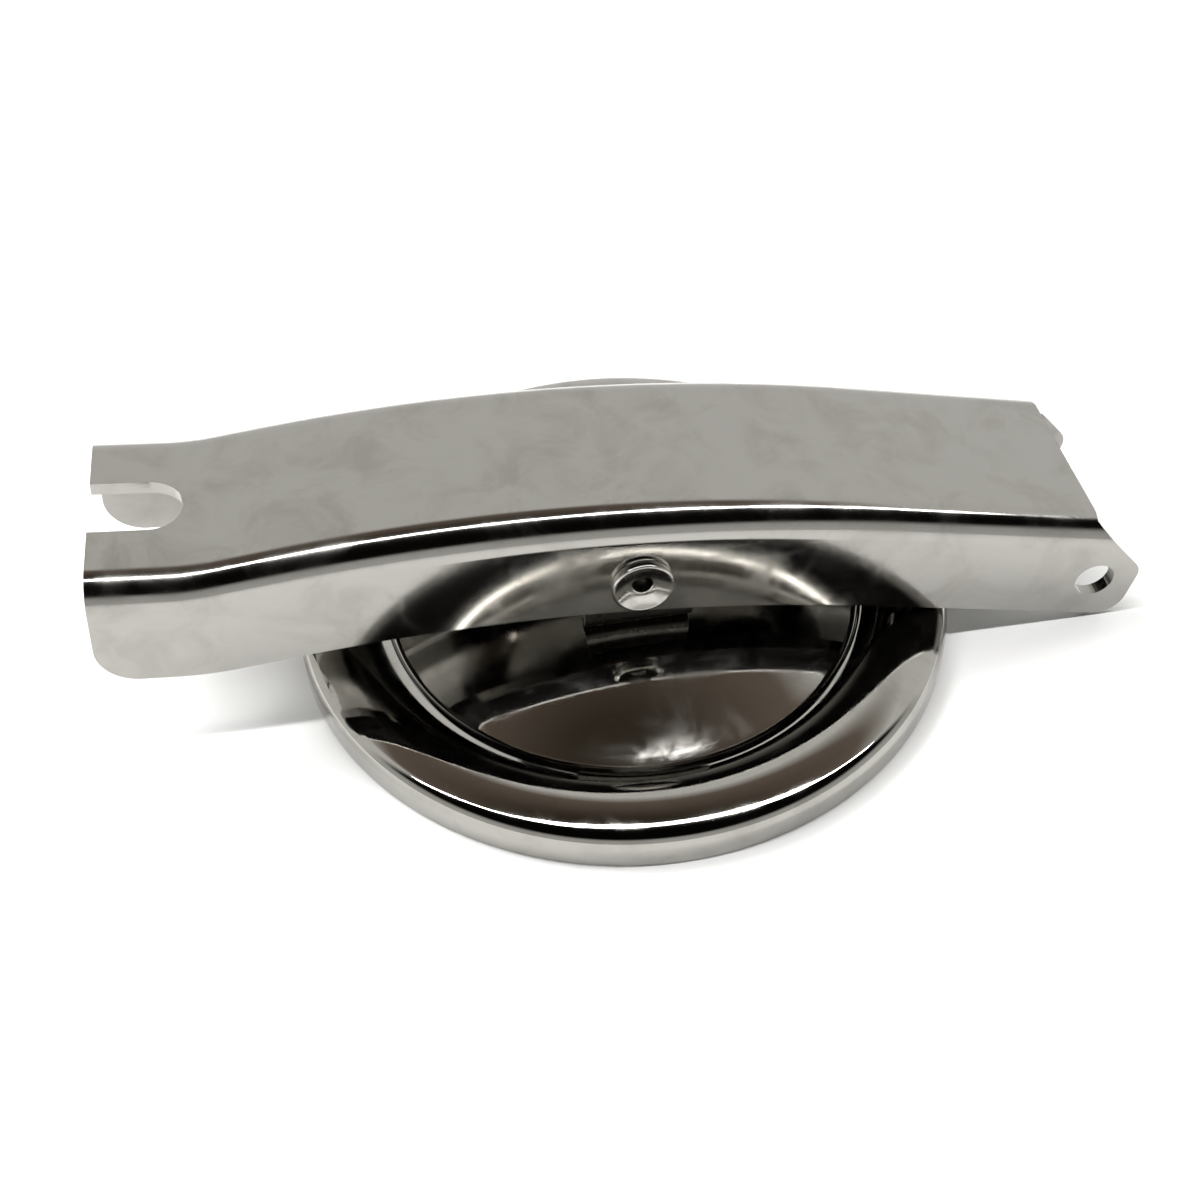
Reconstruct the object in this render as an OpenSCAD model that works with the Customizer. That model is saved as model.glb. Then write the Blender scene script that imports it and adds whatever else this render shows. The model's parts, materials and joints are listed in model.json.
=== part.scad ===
// Round pressed lid with a channel clamp arm, for a small hatch neck.
// Z is up. The origin is the lid's centre in the plane of its skirt edge.
// X runs along the arm, towards the hinge ears, and Y across it.

/* [Lid] */
// Outside diameter of the skirt
lid_d = 102; // [98:0.5:110]
// Sheet thickness of the lid
lid_t = 1; // [0.8:0.1:1.2]
// Height of the rim above the skirt edge
rim_h = 6.9; // [6.4:0.1:7]
// Outside radius of the rim's tight shoulder
roll_r = 2.8; // [2.2:0.1:3.2]
// Height of the mouth edge, where the rim's band ends
mouth_z = 5; // [4.9:0.1:5.4]
// Radius at which the groove round the dome is centred
groove_r = 36.3; // [34:0.1:38]
// Height of the dome's sphere at the centre
dome_h = 9.4; // [9:0.1:10]
// Radius of the dome's sphere
dome_r = 113.6; // [105:0.1:130]
// Diameter of the flat pad on the dome
pad_d = 18; // [14:0.5:24]

/* [Seal] */
// Inside diameter of the seal ring
seal_d = 80; // [79:0.5:86]
// Height of the seal's face above the skirt edge
seal_z = 1.6; // [1:0.1:2.4]

/* [Clamp arm] */
// Outside width of the channel
arm_w = 33.5; // [30:0.5:40]
// Sheet thickness of the arm
arm_t = 2; // [1.5:0.1:2.5]
// Outside radius of the channel's bends
bend_r = 4.5; // [3.5:0.1:5]
// Height of the channel
arm_h = 17.8; // [16:0.1:17.9]
// Height of the plate at the tip
tip_z = 33.3; // [33:0.1:35]
// Distance from the lid's centre to the tip
tip_x = 76; // [74:0.5:80]
// Length of the straight tip
tip_len = 10; // [8:0.5:12]
// Downward slope of the tip, in degrees
tip_slope = 6.5; // [4:0.25:8]
// Radius of the dip behind the tip
dip_r = 32; // [28:1:50]
// Upward slope behind the dip, in degrees
rise_slope = 5.5; // [4:0.25:7]
// Length of the straight behind the dip
rise_len = 7.5; // [5:0.5:10]
// Radius of the long crown
crown_r = 280; // [260:5:300]
// Downward slope of the hinge end, in degrees
fall_slope = 13.25; // [12:0.25:13.5]
// Length from the crown's end to the hinge axis
fall_len = 35.4; // [30:0.1:40]

/* [Latch slot] */
// Width of the slot, for an M8 swing bolt
slot_w = 10; // [8.5:0.1:11]
// Depth of the slot from the tip
slot_depth = 13.5; // [12:0.5:18]

/* [Hinge ears] */
// Diameter of the hinge bore, for a 6 mm pin
hinge_d = 6.2; // [5:0.1:8]
// Height of the hinge axis above the lower edge of the ear
hinge_up = 7.1; // [6.4:0.1:8]
// Length of the ear past the hinge axis
ear_out = 6.9; // [6.5:0.1:9]

/* [Pivot] */
// Height of the pivot axis above the skirt edge
pivot_z = 20.8; // [20:0.1:22]
// Diameter of the rivet's shank
rivet_d = 6; // [5:0.5:6.5]
// Diameter of the rivet's flared heads
head_d = 9.2; // [8.5:0.1:11]
// Height of the rivet's heads
head_h = 1.3; // [1:0.1:1.8]
// Diameter of the hole drilled in each end of the rivet
drill_d = 3; // [2:0.1:3.4]

/* [Lid bracket] */
// Length of the bracket along the arm
bracket_len = 16.4; // [14:0.1:17]
// Sheet thickness of the bracket
bracket_t = 1.5; // [1.2:0.1:2]
// Outside radius of the bracket's bends
bracket_bend = 2.6; // [2.2:0.1:3.5]

/* [Hidden] */

steel = "#b9b7b2";
steel_dark = "#9c9a95";
rubber = "#2b2b2d";

over = 1;               // how far cutters run past a face
bend_steps = 6;         // facets round each of the channel's bends
dip_steps = 6;          // facets along the dip
crown_steps = 12;       // facets along the crown
smooth = 64;            // facets on a small round
crossing = 0.01;        // how far a corner's round runs past the edges that it joins
side_gap = 0.3;         // gap between each bracket ear and its flange
pivot_gap = 0.08;       // radial running clearance in the bracket's bores
wall_lean = 65;         // slope of the wall between groove and mouth, in degrees
groove_round = 1;       // inside radius at the groove's bottom
mouth_round = 1.4;      // outside radius of the mouth edge
shoulder_a = 20;        // outward slope at which the band meets the shoulder, in degrees
tip_round = 6;          // radius of the flange corners at the tip
ear_round = 4;          // radius of the ears' lower corners
ear_top_round = 3;      // radius of the ears' upper corners
ear_lean = 36;          // slope of the ears' slanted upper edge, in degrees
ear_shoulder = 0.6;     // depth at which the slanted edge starts
plate_short = 3.2;      // how far the plate stops short of the hinge axis
plate_gap = 3;          // width left beside the plate's square end for each bend
drill_depth = 7;        // depth of the rivet's drilled ends
dish_r = 2.5;           // radius where the head's dish meets its drilled hole
dish_depth = 0.9;       // depth of the dish
head_lip = 0.5;         // width of the rounded lip round the dish

lid_r = lid_d / 2;
pad_r = pad_d / 2;
half_w = arm_w / 2;
ear_y = half_w - arm_t - side_gap;

// Points on an arc about [cx, cy], from angle a to angle b
function arc(cx, cy, r, a, b, n) =
    [for (i = [0:n]) let (t = a + (b - a) * i / n) [cx + r * cos(t), cy + r * sin(t)]];

// ---- Lid section: arcs joined by tangent lines, X outward and Y up ----
dome_c = [0, dome_h - dome_r];
pad_a = asin(pad_r / dome_r);
pad_h = dome_c[1] + dome_r * cos(pad_a);
groove_c = [groove_r, dome_c[1] + sqrt(pow(dome_r + groove_round, 2) - pow(groove_r, 2))];
dome_a = asin(groove_r / (dome_r + groove_round));
rounds = groove_round + mouth_round;
wall_len = (mouth_z - mouth_round + rounds * cos(wall_lean) - groove_c[1]) / sin(wall_lean);
mouth_c = [groove_r + rounds * sin(wall_lean) + wall_len * cos(wall_lean), mouth_z - mouth_round];

// The band is one arc as high as the rim. It runs from the mouth's round to the shoulder
lean = sin(shoulder_a);
reach = [mouth_c[0] - lid_r + roll_r * (1 - lean), mouth_c[1] - rim_h];
half_b = reach * [lean, 1] + mouth_round;
band_r = (-half_b - sqrt(pow(half_b, 2) - pow(lean, 2) * (reach * reach - pow(mouth_round, 2))))
    / pow(lean, 2);
band_c = [lid_r - roll_r - (band_r - roll_r) * lean, rim_h - band_r];
roll_c = band_c + (band_r - roll_r) * [lean, cos(shoulder_a)];
mouth_a = atan2(mouth_c[1] - band_c[1], mouth_c[0] - band_c[0]);

// The lid's surface, at a depth below the outer skin, from the centre outward
function skin(depth) = concat(
    [[0, pad_h - depth]],
    arc(dome_c[0], dome_c[1], dome_r - depth, 90 - pad_a, 90 - dome_a, 16),
    arc(groove_c[0], groove_c[1], groove_round + depth, 270 - dome_a, 270 + wall_lean, 10),
    arc(mouth_c[0], mouth_c[1], mouth_round - depth, 90 + wall_lean, mouth_a, 6),
    arc(band_c[0], band_c[1], band_r - depth, mouth_a, 90 - shoulder_a, 10),
    arc(roll_c[0], roll_c[1], roll_r - depth, 90 - shoulder_a, 0, 10),
    [[lid_r - depth, 0]]
);

function turned_back(list) = [for (i = [len(list) - 1:-1:0]) list[i]];

module lid_pan() {
    color(steel)
        rotate_extrude($fn = 180)
            polygon(concat(skin(0), turned_back(skin(lid_t))));
}

// ---- Seal: fills the space under the band, down to its own flat face ----
seal_in = seal_d / 2;

module seal_ring() {
    color(rubber)
        rotate_extrude($fn = 180)
            intersection() {
                polygon(concat(skin(lid_t), [[0, 0]]));
                translate([seal_in, seal_z])
                    square([lid_r, rim_h]);
            }
}

// ---- Lid bracket: a saddle whose two ears hold the rivet ----
// A U in section, open at the top
module saddle_outline(half, low, r) {
    translate([-half + r, low])
        square([2 * (half - r), pivot_z]);
    translate([-half, low + r])
        square([2 * half, pivot_z]);
    for (side = [-1, 1])
        translate([side * (half - r), low + r])
            circle(r = r, $fn = smooth);
}

module saddle() {
    rotate([90, 0, 90])
        linear_extrude(bracket_len, center = true)
            difference() {
                saddle_outline(ear_y, pad_h, bracket_bend);
                saddle_outline(ear_y - bracket_t, pad_h + bracket_t, bracket_bend - bracket_t);
            }
}

// The saddle's outline from the side: straight, then round about the pivot
module ear_outline() {
    translate([-bracket_len / 2, 0])
        square([bracket_len, pivot_z]);
    translate([0, pivot_z])
        circle(d = bracket_len, $fn = smooth);
}

module cross_bore(d, length) {
    rotate([90, 0, 0])
        cylinder(d = d, h = length, center = true, $fn = smooth);
}

module lid_bracket() {
    color(steel_dark)
        difference() {
            intersection() {
                saddle();
                rotate([90, 0, 0])
                    linear_extrude(arm_w, center = true)
                        ear_outline();
            }
            translate([0, 0, pivot_z])
                cross_bore(rivet_d + 2 * pivot_gap, arm_w + 2 * over);
        }
}

// ---- Clamp arm: one channel section carried along lines and arcs ----
tip_a = -tip_slope;
rise_a = rise_slope;
fall_a = -fall_slope;
function along(a) = [cos(a), sin(a)];
function normal(a) = [-sin(a), cos(a)];

tip_p = [-tip_x, tip_z];
dip_p = tip_p + tip_len * along(tip_a);
dip_c = dip_p + dip_r * normal(tip_a);
rise_p = dip_c - dip_r * normal(rise_a);
crown_p = rise_p + rise_len * along(rise_a);
crown_c = crown_p - crown_r * normal(rise_a);
fall_p = crown_c + crown_r * normal(fall_a);
ear_tip = fall_len + ear_out;

// The channel's section as one loop: [across, depth below the plate's face]
channel_section = concat(
    [[-half_w, -arm_h]],
    arc(bend_r - half_w, -bend_r, bend_r, 180, 90, bend_steps),
    arc(half_w - bend_r, -bend_r, bend_r, 90, 0, bend_steps),
    [[half_w, -arm_h], [half_w - arm_t, -arm_h]],
    arc(half_w - bend_r, -bend_r, bend_r - arm_t, 0, 90, bend_steps),
    arc(bend_r - half_w, -bend_r, bend_r - arm_t, 90, 180, bend_steps),
    [[arm_t - half_w, -arm_h]]
);

// Stations along an arc of the plate, each a point and a slope.
// A positive radius has its centre above the plate
function stations(c, r, a, b, n) =
    [for (i = [0:n]) let (t = a + (b - a) * i / n) [c - r * normal(t), t]];

path = concat(
    [[tip_p, tip_a]],
    stations(dip_c, dip_r, tip_a, rise_a, dip_steps),
    stations(crown_c, -crown_r, rise_a, fall_a, crown_steps),
    [[fall_p + ear_tip * along(fall_a), fall_a]]
);

function halves(a, b, c, d) = [[a, b, c], [a, c, d]];

// One closed solid: the section carried from station to station.
// Outer point j of the section lies opposite inner point m - 1 - j
module swept_channel() {
    m = len(channel_section);
    last = (len(path) - 1) * m;
    polyhedron(
        points = [for (s = path, q = channel_section)
            let (p = s[0] + q[1] * normal(s[1])) [p[0], q[0], p[1]]],
        faces = concat(
            [for (j = [0:m / 2 - 2]) each halves(j + 1, j, m - 1 - j, m - 2 - j)],
            [for (i = [0:len(path) - 2], j = [0:m - 1])
                let (a = i * m + j, b = i * m + (j + 1) % m) each halves(a, b, b + m, a + m)],
            [for (j = [0:m / 2 - 2])
                each halves(last + j, last + j + 1, last + m - 2 - j, last + m - 1 - j)]
        )
    );
}

// Moves to a point of the side view and turns X to a slope
module at_point(p, a) {
    translate([p[0], 0, p[1]])
        rotate([0, -a, 0])
            children();
}

// Cuts a side outline through both flanges: X along the arm, Y up
module side_cut(p, a) {
    at_point(p, a)
        rotate([90, 0, 0])
            linear_extrude(arm_w + 2 * over, center = true)
                children();
}

// What is left outside a round corner of radius r at the origin.
// The round crosses each edge at a slight angle and not at a tangent
module corner_waste(r) {
    difference() {
        translate([-over, -over])
            square(r + over);
        translate([r - crossing, r - crossing])
            circle(r = r, $fn = smooth);
    }
}

module latch_slot() {
    at_point(tip_p, tip_a)
        translate([0, 0, -arm_t - over]) {
            translate([-over, -slot_w / 2, 0])
                cube([slot_depth - slot_w / 2 + over, slot_w, arm_t + 2 * over]);
            translate([slot_depth - slot_w / 2, 0, 0])
                cylinder(d = slot_w, h = arm_t + 2 * over, $fn = smooth);
        }
}

// What the ears lose: all that lies above their slanted edge and outside their lower corner
module ear_waste() {
    start = fall_len - plate_short;
    run = ear_tip - ear_top_round - start;
    drop = (ear_top_round + run * sin(ear_lean)) / cos(ear_lean);
    polygon(concat(
        [[start, over], [start, -ear_shoulder]],
        arc(start + run, -ear_shoulder - drop, ear_top_round, 90 - ear_lean, 0, bend_steps),
        [[ear_tip + over, -ear_shoulder - drop], [ear_tip + over, over]]
    ));
    translate([ear_tip, -arm_h])
        mirror([1, 0])
            corner_waste(ear_round);
}

// The plate between the bends is cut off square before the ears
module plate_waste() {
    at_point(fall_p, fall_a)
        translate([fall_len - plate_short, plate_gap - ear_y, -arm_t - over])
            cube([ear_tip, 2 * (ear_y - plate_gap), arm_t + 2 * over]);
}

hinge_at = fall_p + fall_len * along(fall_a) + (hinge_up - arm_h) * normal(fall_a);

module clamp_arm() {
    color(steel)
        difference() {
            swept_channel();
            latch_slot();
            side_cut(tip_p, tip_a)
                translate([0, -arm_h])
                    corner_waste(tip_round);
            side_cut(fall_p, fall_a)
                ear_waste();
            plate_waste();
            translate([hinge_at[0], 0, hinge_at[1]])
                cross_bore(hinge_d, arm_w + 2 * over);
            translate([0, 0, pivot_z])
                cross_bore(rivet_d, arm_w + 2 * over);
        }
}

// ---- Pivot rivet: a shank with a flared, dished and drilled head at each end ----
// Half of the section: X from the axis, Y along it from the middle
head_r = head_d / 2;
head_y = half_w + head_h;

module rivet_half() {
    rotate_extrude($fn = smooth)
        polygon([
            [0, 0],
            [rivet_d / 2, 0],
            [rivet_d / 2, half_w],
            [head_r - 0.2, half_w],
            [head_r, half_w + 0.3],
            [head_r, head_y - 0.3],
            [head_r - 0.15, head_y - 0.1],
            [head_r - 0.35, head_y],
            [head_r - head_lip, head_y],
            [dish_r, head_y - dish_depth],
            [drill_d / 2, head_y - dish_depth - 0.1],
            [drill_d / 2, head_y - drill_depth],
            [0, head_y - drill_depth - drill_d / 4]
        ]);
}

module pivot_rivet() {
    color(steel_dark)
        translate([0, 0, pivot_z])
            for (turn = [90, -90])
                rotate([turn, 0, 0])
                    rivet_half();
}

lid_pan();
seal_ring();
lid_bracket();
clamp_arm();
pivot_rivet();
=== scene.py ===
"""Hatch lid with a rocking clamp arm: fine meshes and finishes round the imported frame.

Sizes are in millimetres in the classes below and become metres when a mesh is made.
The origin is the lid's centre in the plane of its skirt edge, Z is up, and X runs along
the arm towards its hinge ears.
"""

import json
import logging
import math
from collections.abc import Callable, Iterable
from dataclasses import dataclass, field
from enum import Enum

import bmesh
import bpy
from mathutils import Matrix, Vector


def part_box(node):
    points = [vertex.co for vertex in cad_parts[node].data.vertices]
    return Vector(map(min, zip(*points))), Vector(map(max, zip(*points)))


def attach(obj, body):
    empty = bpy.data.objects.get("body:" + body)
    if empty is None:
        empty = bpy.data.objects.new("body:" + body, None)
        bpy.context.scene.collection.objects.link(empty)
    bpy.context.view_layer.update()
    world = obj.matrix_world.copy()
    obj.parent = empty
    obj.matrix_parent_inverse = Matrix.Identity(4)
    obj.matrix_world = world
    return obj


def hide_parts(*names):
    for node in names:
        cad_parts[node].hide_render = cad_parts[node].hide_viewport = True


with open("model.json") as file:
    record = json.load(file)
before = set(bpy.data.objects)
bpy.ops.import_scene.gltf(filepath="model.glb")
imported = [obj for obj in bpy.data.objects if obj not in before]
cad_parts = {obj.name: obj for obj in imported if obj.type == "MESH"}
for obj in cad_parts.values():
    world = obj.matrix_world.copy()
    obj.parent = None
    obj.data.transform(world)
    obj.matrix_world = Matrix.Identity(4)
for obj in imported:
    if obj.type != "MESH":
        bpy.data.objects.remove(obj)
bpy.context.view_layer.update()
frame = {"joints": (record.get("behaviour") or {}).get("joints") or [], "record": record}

MM = 0.001
MERGE_MM = 1e-4  # points closer than this are one
PAST_MM = 1.0  # how far a cutting tool runs past a face
log = logging.getLogger("hatch_lid")

X_AXIS = Vector((1, 0, 0))
Y_AXIS = Vector((0, 1, 0))
Z_AXIS = Vector((0, 0, 1))


class Body(Enum):
    """The two bodies that the pivot joins."""

    LID = "lid"
    ARM = "arm"


class Slot(Enum):
    """The record's material slots."""

    PAN = "polished_steel"
    ARM = "arm_steel"
    BRACKET = "bracket_steel"
    RIVET = "rivet_steel"
    SEAL = "seal_rubber"


# ---- Record ----


def joint_height() -> float:
    """Height of the pivot axis above the skirt edge, in millimetres."""
    return frame["joints"][0]["pos_m"][2] / MM


def hinge_centre() -> Vector:
    """Middle of the hinge bore, in millimetres, from the record's mount."""
    mounts = {m["name"]: m for m in frame["record"]["mounts"]}
    return Vector(mounts["hinge_bore"]["pos_m"]) / MM


# ---- Mesh work ----


@dataclass
class Outline:
    """A flat outline of straight lines and round stretches.

    Attributes:
        points: The corners and arc points so far, in millimetres.
    """

    points: list[tuple[float, float]] = field(default_factory=list)

    def to(self, x: float, y: float) -> "Outline":
        """Adds a straight line to a point, and returns the outline."""
        self.points.append((x, y))
        return self

    def arc(self, centre: tuple[float, float], radius: float, start: float, end: float,
            steps: int) -> "Outline":
        """Adds a round stretch.

        Args:
            centre: Middle of the arc.
            radius: Radius of the arc.
            start: Angle at which it starts, in degrees.
            end: Angle at which it ends, in degrees.
            steps: Number of chords.

        Returns:
            The outline itself.
        """
        for i in range(steps + 1):
            turn = math.radians(start + (end - start) * i / steps)
            self.to(centre[0] + radius * math.cos(turn), centre[1] + radius * math.sin(turn))
        return self

    def draw(self, bm: bmesh.types.BMesh, place: Callable[[float, float], Vector],
             closed: bool = True) -> list[bmesh.types.BMEdge]:
        """Draws the outline as edges.

        Args:
            bm: The mesh that gets the edges.
            place: Turns a flat point into a point in space.
            closed: Whether the last point joins the first.

        Returns:
            The new edges in order.
        """
        verts = [bm.verts.new(place(x, y)) for x, y in self.points]
        pairs = zip(verts, verts[1:] + verts[:1] if closed else verts[1:])
        return [bm.edges.new(pair) for pair in pairs]


def ends(edges: list[bmesh.types.BMEdge]) -> list[bmesh.types.BMVert]:
    """Returns the vertices of some edges, each once, in an order that never changes."""
    return list(dict.fromkeys(v for e in edges for v in e.verts))


def revolve(bm: bmesh.types.BMesh, edges: list[bmesh.types.BMEdge], centre: Vector,
            axis: Vector, steps: int) -> None:
    """Turns edges all the way round an axis.

    Args:
        bm: The mesh that holds the edges.
        edges: The section's edges.
        centre: A point on the axis.
        axis: Direction of the axis.
        steps: Number of facets round the turn.
    """
    bmesh.ops.spin(bm, geom=ends(edges) + edges, cent=centre, axis=axis, angle=math.tau,
                   steps=steps, use_merge=True, use_duplicate=False)
    bmesh.ops.remove_doubles(bm, verts=bm.verts, dist=MERGE_MM)
    bmesh.ops.recalc_face_normals(bm, faces=bm.faces)


def make_piece(name: str, bm: bmesh.types.BMesh, sharp_deg: float = 35) -> bpy.types.Object:
    """Turns a mesh in millimetres into a smooth-shaded object in metres.

    Args:
        name: Name of the piece.
        bm: The mesh, which is freed.
        sharp_deg: Edges that turn more than this stay crisp.

    Returns:
        The new object, linked to the scene.
    """
    bmesh.ops.scale(bm, vec=Vector((MM, MM, MM)), verts=bm.verts)
    mesh = bpy.data.meshes.new(name)
    bm.to_mesh(mesh)
    bm.free()
    mesh.polygons.foreach_set("use_smooth", [True] * len(mesh.polygons))
    mesh.set_sharp_from_angle(angle=math.radians(sharp_deg))
    piece = bpy.data.objects.new(name, mesh)
    bpy.context.scene.collection.objects.link(piece)
    return piece


def settle(piece: bpy.types.Object) -> None:
    """Bakes a piece's modifiers into its mesh."""
    graph = bpy.context.evaluated_depsgraph_get()
    graph.update()
    finished = bpy.data.meshes.new_from_object(piece.evaluated_get(graph), depsgraph=graph)
    piece.modifiers.clear()
    raw = piece.data
    finished.name = raw.name + "_mesh"
    piece.data = finished
    bpy.data.meshes.remove(raw)


def cut(piece: bpy.types.Object, tools: Iterable[bmesh.types.BMesh],
        operation: str = "DIFFERENCE") -> None:
    """Cuts a piece with solids, as a punch or a mill would.

    Args:
        piece: The piece to cut.
        tools: Closed meshes in millimetres, which are freed.
        operation: The Boolean modifier's operation.
    """
    for tool in tools:
        bmesh.ops.recalc_face_normals(tool, faces=tool.faces)
        cutter = make_piece("cutter", tool)
        mod = piece.modifiers.new("cut", "BOOLEAN")
        mod.operation = operation
        mod.solver = "EXACT"
        mod.object = cutter
        settle(piece)
        spent = cutter.data
        bpy.data.objects.remove(cutter)
        bpy.data.meshes.remove(spent)


def soften(piece: bpy.types.Object, width: float, segments: int = 3, angle: float = 40) -> None:
    """Breaks a piece's sharp edges and evens its shading.

    Args:
        piece: The piece, whose modifiers are baked.
        width: Width of the broken edge, in millimetres.
        segments: Facets across it.
        angle: Least turn of an edge that is broken, in degrees.
    """
    bevel = piece.modifiers.new("broken_edges", "BEVEL")
    bevel.width = width * MM
    bevel.segments = segments
    bevel.limit_method = "ANGLE"
    bevel.angle_limit = math.radians(angle)
    bevel.use_clamp_overlap = True
    bevel.harden_normals = True
    settle(piece)


def rod(centre: Vector, axis: Vector, radius: float, length: float, facets: int = 96
        ) -> bmesh.types.BMesh:
    """Makes a round bar.

    Args:
        centre: Middle of the bar.
        axis: Its direction.
        radius: Its radius.
        length: Its length.
        facets: Facets round it.

    Returns:
        The bar's mesh.
    """
    bm = bmesh.new()
    turn = Z_AXIS.rotation_difference(axis).to_matrix().to_4x4()
    bmesh.ops.create_cone(bm, cap_ends=True, segments=facets, radius1=radius, radius2=radius,
                          depth=length, matrix=Matrix.Translation(centre) @ turn)
    return bm


def slab(outline: Outline, place: Callable[[float, float], Vector], path: Vector
         ) -> bmesh.types.BMesh:
    """Makes a plate with a given outline.

    Args:
        outline: The plate's edge.
        place: Turns a flat point into a point in space.
        path: The way and the thickness in which the outline is drawn out.

    Returns:
        The plate's mesh.
    """
    bm = bmesh.new()
    edges = outline.draw(bm, place)
    bmesh.ops.remove_doubles(bm, verts=bm.verts, dist=MERGE_MM)
    face = bmesh.ops.contextual_create(bm, geom=list(bm.edges))["faces"]
    grown = bmesh.ops.extrude_face_region(bm, geom=face, use_keep_orig=True)["geom"]
    moved = [v for v in grown if isinstance(v, bmesh.types.BMVert)]
    bmesh.ops.translate(bm, vec=path, verts=moved)
    bmesh.ops.recalc_face_normals(bm, faces=bm.faces)
    return bm


# ---- Finishes ----


def linear(colour: str) -> tuple[float, float, float, float]:
    """Turns an sRGB hex colour such as "#C8C6C2" into linear RGBA."""
    parts = [int(colour[i:i + 2], 16) / 255 for i in (1, 3, 5)]
    light = [c / 12.92 if c <= 0.04045 else ((c + 0.055) / 1.055) ** 2.4 for c in parts]
    return light[0], light[1], light[2], 1.0


def add_node(tree: bpy.types.NodeTree, kind: str, inputs: dict | None = None,
             **settings: object) -> bpy.types.Node:
    """Adds a node with its settings, values and links.

    Args:
        tree: The node tree.
        kind: The node's type.
        inputs: Values or output sockets for its inputs, by name or number. A colour mix
            has its colours at 6 and 7, and its result at 2.
        **settings: The node's own properties.

    Returns:
        The new node.
    """
    node = tree.nodes.new(kind)
    for name, value in settings.items():
        setattr(node, name, value)
    for key, value in (inputs or {}).items():
        if isinstance(value, bpy.types.NodeSocket):
            tree.links.new(value, node.inputs[key])
        else:
            node.inputs[key].default_value = value
    return node


def start_material(name: str) -> tuple[bpy.types.Material, bpy.types.NodeTree]:
    """Makes an empty node material and returns it with its tree."""
    material = bpy.data.materials.new(name)
    material.use_nodes = True
    material.node_tree.nodes.clear()
    return material, material.node_tree


def set_ramp(node: bpy.types.Node, stops: list[tuple[float, str]]) -> None:
    """Gives a colour ramp its stops, each a place and a hex colour."""
    ramp = node.color_ramp
    while len(ramp.elements) < len(stops):
        ramp.elements.new(1.0)
    for element, (place, colour) in zip(ramp.elements, stops):
        element.position = place
        element.color = linear(colour)


PIT_DEPTH_MM = 0.02
PIT_SHARE = 0.035  # radius of a pit against the pits' spacing
SCRATCH_TURN = 0.35  # direction of the scratches about Z, in radians
SCRATCH_STRETCH = 0.05  # their width against their length


@dataclass(frozen=True)
class BrightSteel:
    """Stainless sheet polished to a mirror and then handled.

    It gives sharp reflections, a faint haze in clouds, fine straight scratches that catch
    the light, and a few small pits.

    Attributes:
        name: Name of the material.
        colour: Reflection colour of the clean metal.
        haze_colour: Colour where the haze is thickest.
        roughness: Roughness of the clean metal.
        haze_roughness: Roughness where the haze is thickest.
        haze_mm: Size of the haze's clouds.
        scratch_mm: Spacing of the scratches, drawn about as fine as shows.
        scratch_depth_mm: Depth of the scratches.
        ripple_mm: Size of the sheet's slow waves from the press.
        ripple_depth_mm: Depth of those waves.
        pit_mm: Spacing of the pits.
    """

    name: str
    colour: str
    haze_colour: str
    roughness: float
    haze_roughness: float
    haze_mm: float
    scratch_mm: float
    scratch_depth_mm: float
    ripple_mm: float
    ripple_depth_mm: float
    pit_mm: float

    def build(self) -> bpy.types.Material:
        """Makes the material."""
        material, tree = start_material(self.name)
        place = add_node(tree, "ShaderNodeTexCoord").outputs["Object"]
        haze = add_node(tree, "ShaderNodeTexNoise", {
            "Vector": place, "Scale": 1 / (self.haze_mm * MM), "Detail": 5.0,
            "Roughness": 0.62, "Distortion": 0.6})
        haze_share = add_node(tree, "ShaderNodeMapRange", {
            "Value": haze.outputs["Fac"], "From Min": 0.42, "From Max": 0.72},
            interpolation_type="SMOOTHSTEP")
        tint = add_node(tree, "ShaderNodeMix", {
            "Factor": haze_share.outputs["Result"], 6: linear(self.colour),
            7: linear(self.haze_colour)}, data_type="RGBA")
        rough = add_node(tree, "ShaderNodeMapRange", {
            "Value": haze_share.outputs["Result"], "To Min": self.roughness,
            "To Max": self.haze_roughness})

        stretch = add_node(tree, "ShaderNodeMapping", {
            "Vector": place, "Rotation": (0.0, 0.0, SCRATCH_TURN),
            "Scale": (SCRATCH_STRETCH, 1.0, 1.0)})
        scratches = add_node(tree, "ShaderNodeTexNoise", {
            "Vector": stretch.outputs["Vector"], "Scale": 1 / (self.scratch_mm * MM),
            "Detail": 3.0, "Roughness": 0.7})
        ripple = add_node(tree, "ShaderNodeTexNoise", {
            "Vector": place, "Scale": 1 / (self.ripple_mm * MM), "Detail": 1.0})
        cells = add_node(tree, "ShaderNodeTexVoronoi", {
            "Vector": place, "Scale": 1 / (self.pit_mm * MM), "Randomness": 1.0})
        pit = add_node(tree, "ShaderNodeMapRange", {
            "Value": cells.outputs["Distance"], "From Min": 0.0, "From Max": PIT_SHARE,
            "To Min": -1.0, "To Max": 0.0})
        waves = add_node(tree, "ShaderNodeBump", {
            "Height": ripple.outputs["Fac"], "Distance": self.ripple_depth_mm * MM,
            "Strength": 1.0})
        lines = add_node(tree, "ShaderNodeBump", {
            "Height": scratches.outputs["Fac"], "Distance": self.scratch_depth_mm * MM,
            "Strength": 1.0, "Normal": waves.outputs["Normal"]})
        pits = add_node(tree, "ShaderNodeBump", {
            "Height": pit.outputs["Result"], "Distance": PIT_DEPTH_MM * MM, "Strength": 1.0,
            "Normal": lines.outputs["Normal"]})

        steel = add_node(tree, "ShaderNodeBsdfPrincipled", {
            "Base Color": tint.outputs[2], "Metallic": 1.0,
            "Roughness": rough.outputs["Result"], "Normal": pits.outputs["Normal"]})
        add_node(tree, "ShaderNodeOutputMaterial", {"Surface": steel.outputs["BSDF"]})
        return material


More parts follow.
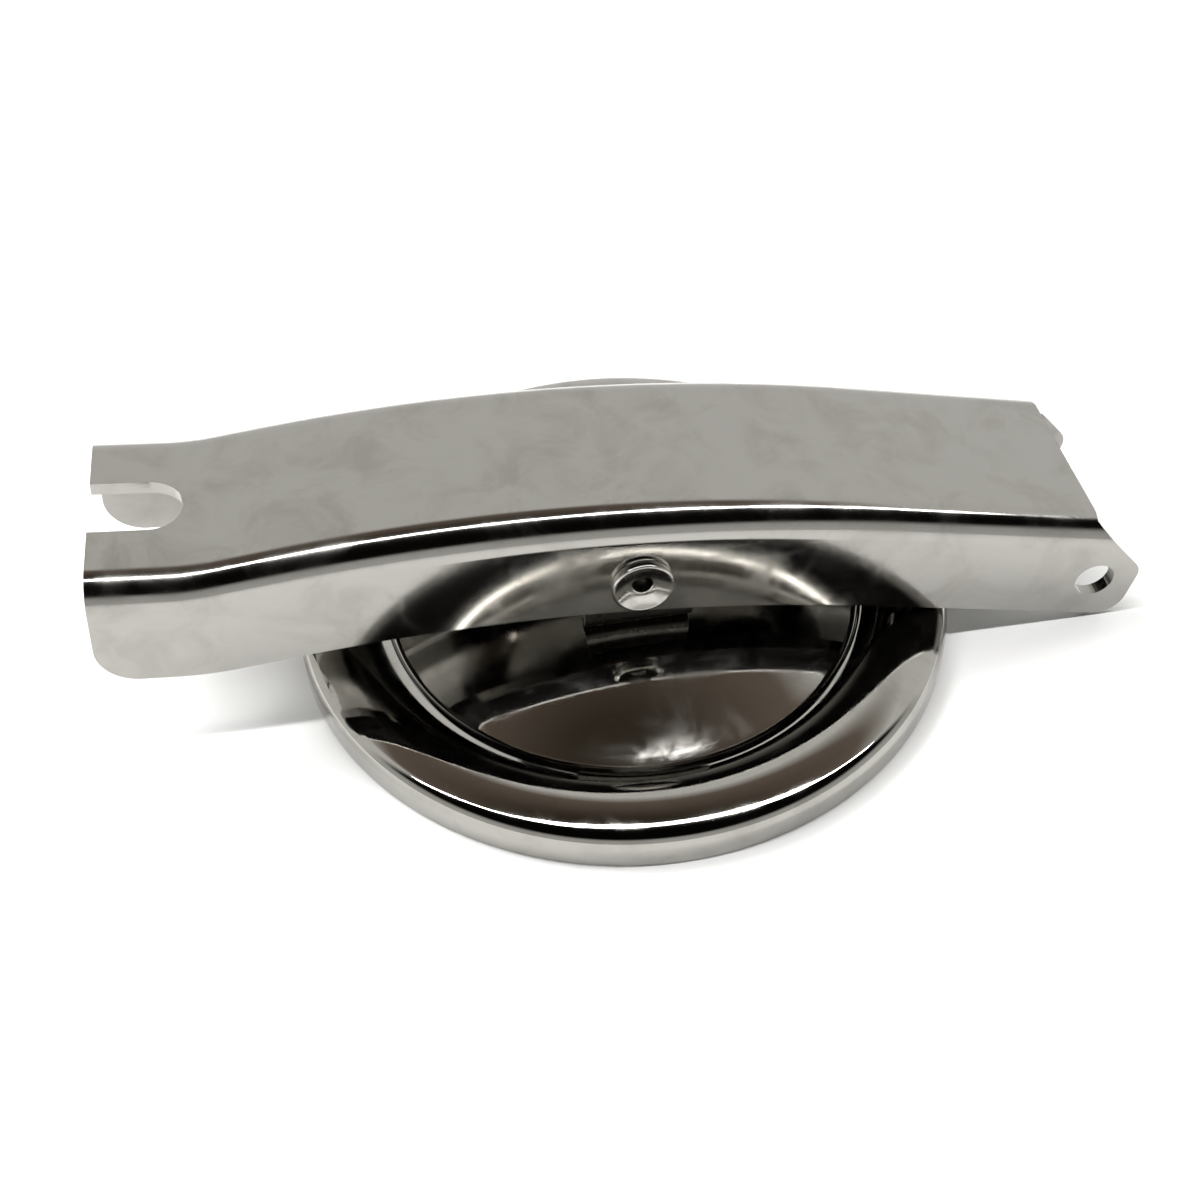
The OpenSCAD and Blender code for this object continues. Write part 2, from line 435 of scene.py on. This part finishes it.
@dataclass(frozen=True)
class MouldedRubber:
    """Moulded black rubber: a soft broad sheen with dust in its grain.

    Attributes:
        name: Name of the material.
        colour: Colour of the rubber.
        dust_colour: Colour of the talc that stays in its grain.
        grain_mm: Size of the mould's grain.
        grain_depth_mm: Depth of that grain.
        dust_mm: Size of the dust's patches.
    """

    name: str
    colour: str
    dust_colour: str
    grain_mm: float
    grain_depth_mm: float
    dust_mm: float

    def build(self) -> bpy.types.Material:
        """Makes the material."""
        material, tree = start_material(self.name)
        place = add_node(tree, "ShaderNodeTexCoord").outputs["Object"]
        grain = add_node(tree, "ShaderNodeTexNoise", {
            "Vector": place, "Scale": 1 / (self.grain_mm * MM), "Detail": 4.0})
        dust = add_node(tree, "ShaderNodeTexNoise", {
            "Vector": place, "Scale": 1 / (self.dust_mm * MM), "Detail": 6.0,
            "Roughness": 0.7})
        share = add_node(tree, "ShaderNodeMapRange", {
            "Value": dust.outputs["Fac"], "From Min": 0.5, "From Max": 0.75,
            "To Max": 0.35})
        tint = add_node(tree, "ShaderNodeMix", {
            "Factor": share.outputs["Result"], 6: linear(self.colour),
            7: linear(self.dust_colour)}, data_type="RGBA")
        bump = add_node(tree, "ShaderNodeBump", {
            "Height": grain.outputs["Fac"], "Distance": self.grain_depth_mm * MM,
            "Strength": 0.6})
        rubber = add_node(tree, "ShaderNodeBsdfPrincipled", {
            "Base Color": tint.outputs[2], "Roughness": 0.62, "IOR": 1.52,
            "Normal": bump.outputs["Normal"]})
        add_node(tree, "ShaderNodeOutputMaterial", {"Surface": rubber.outputs["BSDF"]})
        return material


@dataclass(frozen=True)
class PaperTable:
    """Matt white table paper, which gives soft shadows and a bright bounce.

    Attributes:
        name: Name of the material.
        colour: Colour of the paper.
    """

    name: str
    colour: str

    def build(self) -> bpy.types.Material:
        """Makes the material."""
        material, tree = start_material(self.name)
        paper = add_node(tree, "ShaderNodeBsdfPrincipled", {
            "Base Color": linear(self.colour), "Roughness": 0.9})
        add_node(tree, "ShaderNodeOutputMaterial", {"Surface": paper.outputs["BSDF"]})
        return material


# Pressed lid: mirror polish, with only a light haze
PAN_STEEL = BrightSteel(
    name="stainless_pressed_mirror", colour="#A6A49F", haze_colour="#9B9994",
    roughness=0.045, haze_roughness=0.12, haze_mm=9, scratch_mm=0.5, scratch_depth_mm=0.0006,
    ripple_mm=14, ripple_depth_mm=0.02, pit_mm=11)
# Arm: buffed by hand, so hazier and with more scratches
ARM_STEEL = BrightSteel(
    name="stainless_buffed", colour="#A3A19D", haze_colour="#989691",
    roughness=0.1, haze_roughness=0.22, haze_mm=10, scratch_mm=0.4, scratch_depth_mm=0.0016,
    ripple_mm=22, ripple_depth_mm=0.03, pit_mm=10)
# Bracket: rough and unpolished inside the arm; its dark base and haze colours are painted shade for
# its place under the arm
BRACKET_SHADED_STEEL = BrightSteel(
    name="stainless_rough_painted_shade", colour="#76736E", haze_colour="#64615C",
    roughness=0.26, haze_roughness=0.36, haze_mm=6, scratch_mm=0.4, scratch_depth_mm=0.003,
    ripple_mm=16, ripple_depth_mm=0.02, pit_mm=8)
# Rivet: turned bar, flared cold, so bright with fine tool marks
RIVET_STEEL = BrightSteel(
    name="stainless_turned_flared", colour="#B7B5B0", haze_colour="#A19F9A",
    roughness=0.14, haze_roughness=0.26, haze_mm=2.5, scratch_mm=0.25, scratch_depth_mm=0.003,
    ripple_mm=3, ripple_depth_mm=0.03, pit_mm=3)
# Seal: moulded rubber, so black and dull with a trace of talc
SEAL_RUBBER = MouldedRubber(
    name="rubber_moulded_black", colour="#1E1E20", dust_colour="#4A4A4C", grain_mm=0.35,
    grain_depth_mm=0.05, dust_mm=9)
# Table: matt paper, so white without a sheen
TABLE_PAPER = PaperTable(name="paper_matt_white", colour="#F4F4F3")


# ---- Pieces ----


@dataclass
class LidPan:
    """The pressed round lid, with its rubber seal.

    Attributes:
        skirt_r: Outside radius of the skirt.
        sheet: Thickness of the sheet.
        rim_h: Height of the rim.
        roll_r: Outside radius of the tight shoulder.
        shoulder_a: Outward slope at which the band meets the shoulder, in degrees.
        mouth_z: Height of the mouth edge.
        mouth_r: Outside radius of the mouth edge's round.
        groove_r: Radius of the groove's centre line.
        groove_round: Inside radius at the groove's bottom.
        wall_lean: Slope of the wall between groove and mouth, in degrees.
        dome_h: Height of the dome's sphere at its top.
        dome_r: Radius of the dome's sphere.
        pad_r: Radius of the flat pad on the dome.
        edge_round: Radius of the skirt edge's worn corners.
        seal_in: Inside radius of the seal.
        seal_z: Height of the seal's face.
        bead: Radius of the seal's moulded bead.
        bead_clear: Half the width kept for the bead, in bead radii.
        seal_corner: Width of the seal's chamfered corners.
        turn_steps: Facets round the lid.
    """

    skirt_r: float = 51.0
    sheet: float = 1.0
    rim_h: float = 6.9
    roll_r: float = 2.8
    shoulder_a: float = 20.0
    mouth_z: float = 5.0
    mouth_r: float = 1.4
    groove_r: float = 36.3
    groove_round: float = 1.0
    wall_lean: float = 65.0
    dome_h: float = 9.4
    dome_r: float = 113.6
    pad_r: float = 9.0
    edge_round: float = 0.25
    seal_in: float = 40.0
    seal_z: float = 1.6
    bead: float = 0.7
    bead_clear: float = 2.4
    seal_corner: float = 0.3
    turn_steps: int = 192

    def __post_init__(self) -> None:
        """Works out the centres and angles of the section's rounds."""
        self.dome_z = self.dome_h - self.dome_r
        reach = self.dome_r + self.groove_round
        self.groove_z = self.dome_z + math.sqrt(reach**2 - self.groove_r**2)
        self.dome_a = math.degrees(math.asin(self.groove_r / reach))
        self.pad_a = math.degrees(math.asin(self.pad_r / self.dome_r))
        lean = math.radians(self.wall_lean)
        rounds = self.groove_round + self.mouth_r
        mouth_cz = self.mouth_z - self.mouth_r
        wall = (mouth_cz + rounds * math.cos(lean) - self.groove_z) / math.sin(lean)
        mouth_cr = self.groove_r + rounds * math.sin(lean) + wall * math.cos(lean)
        self.mouth_c = (mouth_cr, mouth_cz)
        self.fit_band()

    def fit_band(self) -> None:
        """Fits the band: one arc as high as the rim, from the mouth's round to the shoulder."""
        slope = math.radians(self.shoulder_a)
        lean = math.sin(slope)
        run = self.mouth_c[0] - self.skirt_r + self.roll_r * (1 - lean)
        drop = self.mouth_c[1] - self.rim_h
        half_b = run * lean + drop + self.mouth_r
        rest = run**2 + drop**2 - self.mouth_r**2
        self.band_r = (-half_b - math.sqrt(half_b**2 - lean**2 * rest)) / lean**2
        inner = self.band_r - self.roll_r
        self.band_c = (self.skirt_r - self.roll_r - inner * lean, self.rim_h - self.band_r)
        self.roll_c = (self.band_c[0] + inner * lean, self.band_c[1] + inner * math.cos(slope))
        self.mouth_a = math.degrees(math.atan2(self.mouth_c[1] - self.band_c[1],
                                               self.mouth_c[0] - self.band_c[0]))

    def skin(self, outline: Outline, depth: float) -> Outline:
        """Draws the lid's surface from the centre outwards.

        Args:
            outline: The outline to add to.
            depth: Depth of this surface below the outer one.

        Returns:
            The outline.
        """
        pad_z = self.dome_z + self.dome_r * math.cos(math.radians(self.pad_a))
        outline.to(0, pad_z - depth)
        outline.arc((0, self.dome_z), self.dome_r - depth, 90 - self.pad_a, 90 - self.dome_a, 24)
        outline.arc((self.groove_r, self.groove_z), self.groove_round + depth,
                    270 - self.dome_a, 270 + self.wall_lean, 14)
        outline.arc(self.mouth_c, self.mouth_r - depth, 90 + self.wall_lean, self.mouth_a, 10)
        outline.arc(self.band_c, self.band_r - depth, self.mouth_a, 90 - self.shoulder_a, 24)
        return outline.arc(self.roll_c, self.roll_r - depth, 90 - self.shoulder_a, 0, 24)

    def pan(self) -> bpy.types.Object:
        """Presses the lid."""
        half = Outline()
        self.skin(half, 0)
        worn = self.edge_round
        half.arc((self.skirt_r - worn, worn), worn, 0, -90, 4)
        half.arc((self.skirt_r - self.sheet + worn, worn), worn, 270, 180, 4)
        under = Outline()
        self.skin(under, self.sheet)
        half.points += under.points[::-1]
        bm = bmesh.new()
        edges = half.draw(bm, lambda r, z: Vector((r, 0, z)), closed=False)
        revolve(bm, edges, Vector(), Z_AXIS, self.turn_steps)
        return make_piece("pressed_lid", bm)

    def seal(self) -> bpy.types.Object:
        """Moulds the seal: it fills the rim and has a bead round the middle of its face."""
        outer = self.skirt_r - self.sheet
        under = self.band_r - self.sheet
        top_a = math.degrees(math.acos((self.seal_in - self.band_c[0]) / under))
        middle = (self.seal_in + outer) / 2
        face = self.seal_z + self.bead
        corner, clear = self.seal_corner, self.bead_clear * self.bead
        half = Outline().to(self.seal_in, face + corner).to(self.seal_in + corner, face)
        half.to(middle - clear, face)
        half.arc((middle, face), self.bead, 180, 360, 10)
        half.to(middle + clear, face).to(outer - corner, face).to(outer, face + corner)
        half.arc(self.roll_c, self.roll_r - self.sheet, 0, 90 - self.shoulder_a, 16)
        half.arc(self.band_c, under, 90 - self.shoulder_a, top_a, 16)
        bm = bmesh.new()
        edges = half.draw(bm, lambda r, z: Vector((r, 0, z)))
        revolve(bm, edges, Vector(), Z_AXIS, self.turn_steps)
        return make_piece("rubber_seal", bm)

    def build(self) -> None:
        """Makes the lid and its seal and dresses them."""
        dress(self.pan(), PAN_STEEL.build(), Body.LID, "lid_pan")
        dress(self.seal(), SEAL_RUBBER.build(), Body.LID, "seal_ring")


@dataclass
class LidBracket:
    """The bent saddle that joins the lid to the rivet.

    Attributes:
        length: Length along the arm.
        sheet: Thickness of the strip.
        bend_r: Outside radius of its bends.
        ear_y: Distance of an ear's outer face from the middle.
        low_z: Height of its underside.
        pivot_z: Height of the rivet's axis.
        bore_r: Radius of its bores.
        edge: Width of the broken edges.
    """

    length: float = 16.4
    sheet: float = 1.5
    bend_r: float = 2.6
    ear_y: float = 14.45
    low_z: float = 0.0
    pivot_z: float = 0.0
    bore_r: float = 3.08
    edge: float = 0.2

    def section(self) -> Outline:
        """Draws the U: the outer side left to right, then the inner side back."""
        top = self.pivot_z + self.length
        y, r, low = self.ear_y, self.bend_r, self.low_z
        inner = r - self.sheet
        outline = Outline().to(-y, top)
        outline.arc((r - y, low + r), r, 180, 270, 12).arc((y - r, low + r), r, 270, 360, 12)
        outline.to(y, top).to(y - self.sheet, top)
        outline.arc((y - r, low + r), inner, 360, 270, 12)
        outline.arc((r - y, low + r), inner, 270, 180, 12)
        return outline.to(self.sheet - y, top)

    def build(self) -> None:
        """Bends the strip, rounds its ears, bores them and dresses the bracket."""
        half = self.length / 2
        strip = slab(self.section(), lambda y, z: Vector((-half, y, z)), self.length * X_AXIS)
        piece = make_piece("lid_saddle", strip)
        side = Outline().to(-half, self.low_z - PAST_MM)
        side.to(half, self.low_z - PAST_MM).arc((0, self.pivot_z), half, 0, 180, 48)
        blank = slab(side, lambda x, z: Vector((x, -2 * self.ear_y, z)), 4 * self.ear_y * Y_AXIS)
        cut(piece, [blank], "INTERSECT")
        cut(piece, [rod(Vector((0, 0, self.pivot_z)), Y_AXIS, self.bore_r, 4 * self.ear_y)])
        soften(piece, self.edge)
        # the bracket's steel has its colour darkened as painted shade from under the arm
        dress(piece, BRACKET_SHADED_STEEL.build(), Body.LID, "lid_bracket")


@dataclass
class ClampArm:
    """The arched channel with the latch slot and the hinge ears.

    Attributes:
        width: Outside width.
        sheet: Thickness of the sheet.
        bend_r: Outside radius of its bends.
        height: Height of the channel.
        tip: Place of the plate's face at the tip, as X and Z.
        tip_slope: Downward slope of the tip, in degrees.
        tip_len: Length of the straight tip.
        dip_r: Radius of the dip.
        rise_slope: Upward slope behind the dip, in degrees.
        rise_len: Length of the straight behind the dip.
        crown_r: Radius of the crown.
        fall_slope: Downward slope of the hinge end, in degrees.
        fall_len: Length from the crown's end to the hinge axis.
        ear_out: Length of the ears past the hinge axis.
        slot_w: Width of the latch slot.
        slot_depth: Depth of the latch slot.
        tip_round: Radius of the flanges' corners at the tip.
        ear_round: Radius of the ears' lower corners.
        ear_top_round: Radius of the ears' upper corners.
        ear_lean: Slope of the ears' slanted upper edge, in degrees.
        ear_shoulder: Depth at which that slanted edge starts.
        plate_short: How far the plate stops short of the hinge axis.
        hinge_r: Radius of the hinge bore.
        rivet_r: Radius of the rivet's hole.
        edge: Width of the broken edges.
    """

    width: float = 33.5
    sheet: float = 2.0
    bend_r: float = 4.5
    height: float = 17.8
    tip: tuple[float, float] = (-76.0, 33.3)
    tip_slope: float = 6.5
    tip_len: float = 10.0
    dip_r: float = 32.0
    rise_slope: float = 5.5
    rise_len: float = 7.5
    crown_r: float = 280.0
    fall_slope: float = 13.25
    fall_len: float = 35.4
    ear_out: float = 6.9
    slot_w: float = 10.0
    slot_depth: float = 13.5
    tip_round: float = 6.0
    ear_round: float = 4.0
    ear_top_round: float = 3.0
    ear_lean: float = 36.0
    ear_shoulder: float = 0.6
    plate_short: float = 3.2
    hinge_r: float = 3.1
    rivet_r: float = 3.0
    edge: float = 0.22

    def section(self) -> Outline:
        """Draws the channel's section as distance across and depth below the face."""
        w, r = self.width / 2, self.bend_r
        inner = r - self.sheet
        outline = Outline().to(-w, -self.height)
        outline.arc((r - w, -r), r, 180, 90, 20).arc((w - r, -r), r, 90, 0, 20)
        outline.to(w, -self.height).to(w - self.sheet, -self.height)
        outline.arc((w - r, -r), inner, 0, 90, 20).arc((r - w, -r), inner, 90, 180, 20)
        return outline.to(self.sheet - w, -self.height)

    def sweep(self) -> bmesh.types.BMesh:
        """Draws the section along the arm: straight, dip, straight, crown and straight.

        Returns:
            The closed channel, before anything is cut from it.
        """
        bm = bmesh.new()
        turn = Matrix.Rotation(math.radians(self.tip_slope), 3, "Y")
        start = Vector((self.tip[0], 0, self.tip[1]))
        loop = self.section().draw(bm, lambda y, z: start + turn @ Vector((0, y, z)))
        first = list(loop)
        spot = start

        def straight(length: float, slope: float) -> None:
            """Draws the last loop along a straight, at a slope in degrees."""
            nonlocal loop, spot
            way = length * Vector((math.cos(math.radians(slope)), 0, math.sin(math.radians(slope))))
            grown = bmesh.ops.extrude_edge_only(bm, edges=loop)["geom"]
            moved = [g for g in grown if isinstance(g, bmesh.types.BMVert)]
            bmesh.ops.translate(bm, vec=way, verts=moved)
            loop = [g for g in grown if isinstance(g, bmesh.types.BMEdge)
                    and all(v in moved for v in g.verts)]
            spot = spot + way

        def bend(radius: float, slope: float, next_slope: float, steps: int) -> None:
            """Draws the last loop round a bend, whose centre is above it if radius is over 0."""
            nonlocal loop, spot
            a, b = math.radians(slope), math.radians(next_slope)
            centre = spot + radius * Vector((-math.sin(a), 0, math.cos(a)))
            grown = bmesh.ops.spin(bm, geom=ends(loop) + loop, cent=centre, axis=-Y_AXIS,
                                   angle=b - a, steps=steps)["geom_last"]
            loop = [g for g in grown if isinstance(g, bmesh.types.BMEdge)]
            spot = centre - radius * Vector((-math.sin(b), 0, math.cos(b)))

        straight(self.tip_len, -self.tip_slope)
        bend(self.dip_r, -self.tip_slope, self.rise_slope, 24)
        straight(self.rise_len, self.rise_slope)
        bend(-self.crown_r, self.rise_slope, -self.fall_slope, 48)
        self.fall_start = spot
        straight(self.fall_len + self.ear_out, -self.fall_slope)
        bmesh.ops.contextual_create(bm, geom=first)
        bmesh.ops.contextual_create(bm, geom=loop)
        bmesh.ops.recalc_face_normals(bm, faces=bm.faces)
        return bm

    def side(self, start: Vector, slope: float) -> Callable[[float, float], Vector]:
        """Returns a placer for side outlines: along a slope from a point, and depth.

        Args:
            start: The point on the plate's face.
            slope: The slope there, in degrees.

        Returns:
            The function that Outline.draw takes.
        """
        turn = Matrix.Rotation(-math.radians(slope), 3, "Y")
        return lambda x, z: start + turn @ Vector((x, -self.width, z))

    def corner(self, x: float, z: float, radius: float, outward: float) -> Outline:
        """Draws what a rounded corner leaves over, with its tip at x and z.

        Args:
            x: The corner's place along the arm.
            z: The corner's depth.
            radius: The corner's radius.
            outward: -1 if the arm's end is on the left, 1 if on the right.

        Returns:
            The outline of the waste.
        """
        far = x + outward * PAST_MM
        cx, cz = x - outward * radius, z + radius
        waste = Outline().to(cx, z - PAST_MM).to(far, z - PAST_MM).to(far, cz)
        start, end = (0, -90) if outward > 0 else (180, 270)
        return waste.arc((cx, cz), radius, start, end, 24)

    def ear_top(self, plate_end: float, ear_tip: float) -> Outline:
        """Draws what lies above the ears' slanted edge.

        Args:
            plate_end: Where the plate ends along the arm.
            ear_tip: Where the ears end.

        Returns:
            The outline of the waste.
        """
        lean, radius = math.radians(self.ear_lean), self.ear_top_round
        run = ear_tip - radius - plate_end
        low = -self.ear_shoulder - (radius + run * math.sin(lean)) / math.cos(lean)
        waste = Outline().to(plate_end, PAST_MM).to(plate_end, -self.ear_shoulder)
        waste.arc((ear_tip - radius, low), radius, 90 - self.ear_lean, 0, 16)
        return waste.to(ear_tip + PAST_MM, low).to(ear_tip + PAST_MM, PAST_MM)

    def build(self) -> None:
        """Presses the channel, cuts its openings and dresses the arm."""
        piece = make_piece("clamp_channel", self.sweep())
        start = Vector((self.tip[0], 0, self.tip[1]))
        through = 2 * self.width * Y_AXIS
        at_tip = self.side(start, -self.tip_slope)
        at_ear = self.side(self.fall_start, -self.fall_slope)
        ear_tip = self.fall_len + self.ear_out
        plate_end = self.fall_len - self.plate_short
        level = self.width / 2 - self.bend_r
        below, beyond = -self.sheet - PAST_MM, ear_tip + PAST_MM
        plate = Outline().to(plate_end, PAST_MM).to(plate_end, below)
        plate.to(beyond, below).to(beyond, PAST_MM)
        at_plate = self.side(self.fall_start + (self.width - level) * Y_AXIS, -self.fall_slope)
        cut(piece, [
            slab(self.corner(0, -self.height, self.tip_round, -1), at_tip, through),
            slab(self.ear_top(plate_end, ear_tip), at_ear, through),
            slab(plate, at_plate, 2 * level * Y_AXIS),
            slab(self.corner(ear_tip, -self.height, self.ear_round, 1), at_ear, through),
            rod(hinge_centre(), Y_AXIS, self.hinge_r, 2 * self.width),
            rod(Vector((0, 0, joint_height())), Y_AXIS, self.rivet_r, 2 * self.width),
        ])
        slot = Outline().to(-PAST_MM, -self.slot_w / 2)
        slot.arc((self.slot_depth - self.slot_w / 2, 0), self.slot_w / 2, -90, 90, 40)
        slot.to(-PAST_MM, self.slot_w / 2)
        turn = Matrix.Rotation(math.radians(self.tip_slope), 3, "Y")
        cut(piece, [slab(slot, lambda x, y: start + turn @ Vector((x, y, -2 * self.sheet)),
                         4 * self.sheet * Z_AXIS)])
        soften(piece, self.edge)
        dress(piece, ARM_STEEL.build(), Body.ARM, "clamp_arm")


@dataclass
class PivotRivet:
    """The cross rivet, drilled at both ends and flared into dished heads.

    Attributes:
        shank_r: Radius of the shank.
        grip: Half the width that it holds together.
        head_r: Radius of the heads.
        head_h: Height of the heads.
        foot_round: Radius where a head's side meets the arm.
        lip: Width of the rounded lip round the dish.
        lip_round: Radius of that lip's outer edge.
        lip_drop: How far the lip's inner edge lies below its top.
        dish_r: Radius at which the dish meets the inner ring.
        dish_depth: Depth of the dish.
        ring_round: Radius of the inner ring round the drilled hole.
        hole_r: Radius of the drilled hole.
        hole_depth: Depth of the drilled hole.
        pivot_z: Height of its axis.
        turn_steps: Facets round it.
    """

    shank_r: float = 3.0
    grip: float = 16.75
    head_r: float = 4.6
    head_h: float = 1.3
    foot_round: float = 0.25
    lip: float = 0.5
    lip_round: float = 0.35
    lip_drop: float = 0.05
    dish_r: float = 2.5
    dish_depth: float = 0.9
    ring_round: float = 0.2
    hole_r: float = 1.5
    hole_depth: float = 7.0
    pivot_z: float = 0.0
    turn_steps: int = 96

    def half_section(self) -> Outline:
        """Draws half the section: distance from the axis, and distance from the middle."""
        top = self.grip + self.head_h
        foot, lip, ring = self.foot_round, self.lip_round, self.ring_round
        half = Outline().to(self.shank_r, 0).to(self.shank_r, self.grip)
        half.to(self.head_r - foot, self.grip)
        half.arc((self.head_r - foot, self.grip + foot), foot, -90, 0, 4)
        half.arc((self.head_r - lip, top - lip), lip, 0, 100, 8)
        half.to(self.head_r - self.lip, top - self.lip_drop)
        half.to(self.dish_r, top - self.dish_depth)
        half.arc((self.hole_r + ring, top - self.dish_depth - ring - self.lip_drop), ring,
                 90, 180, 4)
        half.to(self.hole_r, top - self.hole_depth)
        return half.to(0, top - self.hole_depth - self.hole_r / 2)

    def build(self) -> None:
        """Turns the rivet and dresses it."""
        bm = bmesh.new()
        for side in (-1, 1):
            edges = self.half_section().draw(
                bm, lambda r, y, side=side: Vector((r, side * y, self.pivot_z)), closed=False)
            bmesh.ops.spin(bm, geom=ends(edges) + edges, cent=Vector((0, 0, self.pivot_z)),
                           axis=Y_AXIS, angle=math.tau, steps=self.turn_steps, use_merge=True)
        bmesh.ops.remove_doubles(bm, verts=bm.verts, dist=MERGE_MM)
        bmesh.ops.recalc_face_normals(bm, faces=bm.faces)
        dress(make_piece("pivot_rivet_flared", bm), RIVET_STEEL.build(), Body.ARM,
              "pivot_rivet")


def dress(piece: bpy.types.Object, material: bpy.types.Material, body: Body,
          node: str) -> None:
    """Gives a piece its finish and its body, and hides the CAD node that it replaces.

    Args:
        piece: The piece.
        material: Its finish.
        body: The body that it moves with.
        node: The CAD node that it replaces.
    """
    piece.data.materials.clear()
    piece.data.materials.append(material)
    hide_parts(node)
    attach(piece, body.value)
    log.info("%s: %d faces on %s", piece.name, len(piece.data.polygons), body.value)


# ---- Studio ----


@dataclass
class Studio:
    """The table, the light and the camera.

    Attributes:
        azimuth: Direction in which the camera looks, in degrees clockwise from +Y.
        elevation: Angle at which it looks down, in degrees.
        roll: How far it leans, in degrees.
        eye: Place of the camera, in millimetres.
        lens: Focal length for a 36 mm wide picture.
        table_size: Width of the table, in millimetres.
    """

    azimuth: float = 9.0
    elevation: float = 46.26
    roll: float = -1.13
    eye: tuple[float, float, float] = (-31.2, -174.63, 185.53)
    lens: float = 48.0
    table_size: float = 3000.0

    def table(self) -> None:
        """Lays the table under the skirt edge."""
        bm = bmesh.new()
        bmesh.ops.create_grid(bm, x_segments=1, y_segments=1, size=self.table_size / 2)
        top = make_piece("table", bm)
        top.data.materials.append(TABLE_PAPER.build())

    def room(self) -> None:
        """Lights the room: pale walls, brown overhead, black high up on the camera's side."""
        world = bpy.data.worlds.new("room")
        world.use_nodes = True
        tree = world.node_tree
        tree.nodes.clear()
        way = add_node(tree, "ShaderNodeTexCoord").outputs["Generated"]
        parts = add_node(tree, "ShaderNodeSeparateXYZ", {"Vector": way}).outputs
        far = add_node(tree, "ShaderNodeValToRGB", {"Fac": parts["Z"]})
        set_ramp(far, [(0.0, "#F2F2F0"), (0.45, "#EEEEEA"), (0.75, "#EAEAE6"), (0.84, "#7A6E64"),
                       (0.93, "#655A50"), (0.985, "#40382E")])
        near = add_node(tree, "ShaderNodeValToRGB", {"Fac": parts["Z"]})
        set_ramp(near, [(0.0, "#D8D8D6"), (0.34, "#C4C4C0"), (0.5, "#0B0A09")])
        share = add_node(tree, "ShaderNodeMapRange", {
            "Value": parts["Y"], "From Min": -0.12, "From Max": 0.1},
            interpolation_type="SMOOTHSTEP")
        walls = add_node(tree, "ShaderNodeMix", {
            "Factor": share.outputs["Result"], 6: near.outputs["Color"],
            7: far.outputs["Color"]}, data_type="RGBA")
        back = add_node(tree, "ShaderNodeBackground", {"Color": walls.outputs[2],
                                                       "Strength": 1.15})
        add_node(tree, "ShaderNodeOutputWorld", {"Surface": back.outputs["Background"]})
        bpy.context.scene.world = world

    def light(self, name: str, place: tuple[float, float, float], size: tuple[float, float],
              watts: float, seen: bool) -> None:
        """Hangs a soft light that faces the lid.

        Args:
            name: Name of the light.
            place: Its place, in millimetres.
            size: Its width and height, in millimetres.
            watts: Its power.
            seen: Whether polished metal shows it.
        """
        data = bpy.data.lights.new(name, "AREA")
        data.shape = "RECTANGLE"
        data.size, data.size_y = size[0] * MM, size[1] * MM
        data.energy = watts
        lamp = bpy.data.objects.new(name, data)
        lamp.location = Vector(place) * MM
        lamp.rotation_euler = (-Vector(place)).to_track_quat("-Z", "Y").to_euler()
        lamp.visible_glossy = seen
        bpy.context.scene.collection.objects.link(lamp)

    def camera(self) -> None:
        """Sets up the camera."""
        data = bpy.data.cameras.new("camera")
        data.lens = self.lens
        data.sensor_width = 36.0
        data.clip_start, data.clip_end = 0.01, 20.0
        camera = bpy.data.objects.new("camera", data)
        turn = (Matrix.Rotation(-math.radians(self.azimuth), 4, "Z")
                @ Matrix.Rotation(math.radians(90 - self.elevation), 4, "X")
                @ Matrix.Rotation(math.radians(self.roll), 4, "Z"))
        camera.matrix_world = Matrix.Translation(Vector(self.eye) * MM) @ turn
        bpy.context.scene.collection.objects.link(camera)
        bpy.context.scene.camera = camera

    def build(self) -> None:
        """Sets up the table, the room, the lights and the camera."""
        self.table()
        self.room()
        self.light("soft_key", (-450, 350, 800), (500, 500), 9, False)
        self.light("strip", (0, -50, 900), (1700, 60), 8.5, True)
        self.light("side_window", (820, 700, 310), (200, 160), 2.0, False)
        self.camera()
        bpy.context.scene.view_settings.view_transform = "Standard"


def main() -> None:
    """Builds the studio and the pieces in order."""
    logging.basicConfig(level=logging.INFO, format="%(message)s")
    Studio().build()
    LidPan().build()
    LidBracket(low_z=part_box("lid_bracket")[0].z / MM, pivot_z=joint_height()).build()
    ClampArm().build()
    PivotRivet(pivot_z=joint_height()).build()


if __name__ == "__main__":
    main()
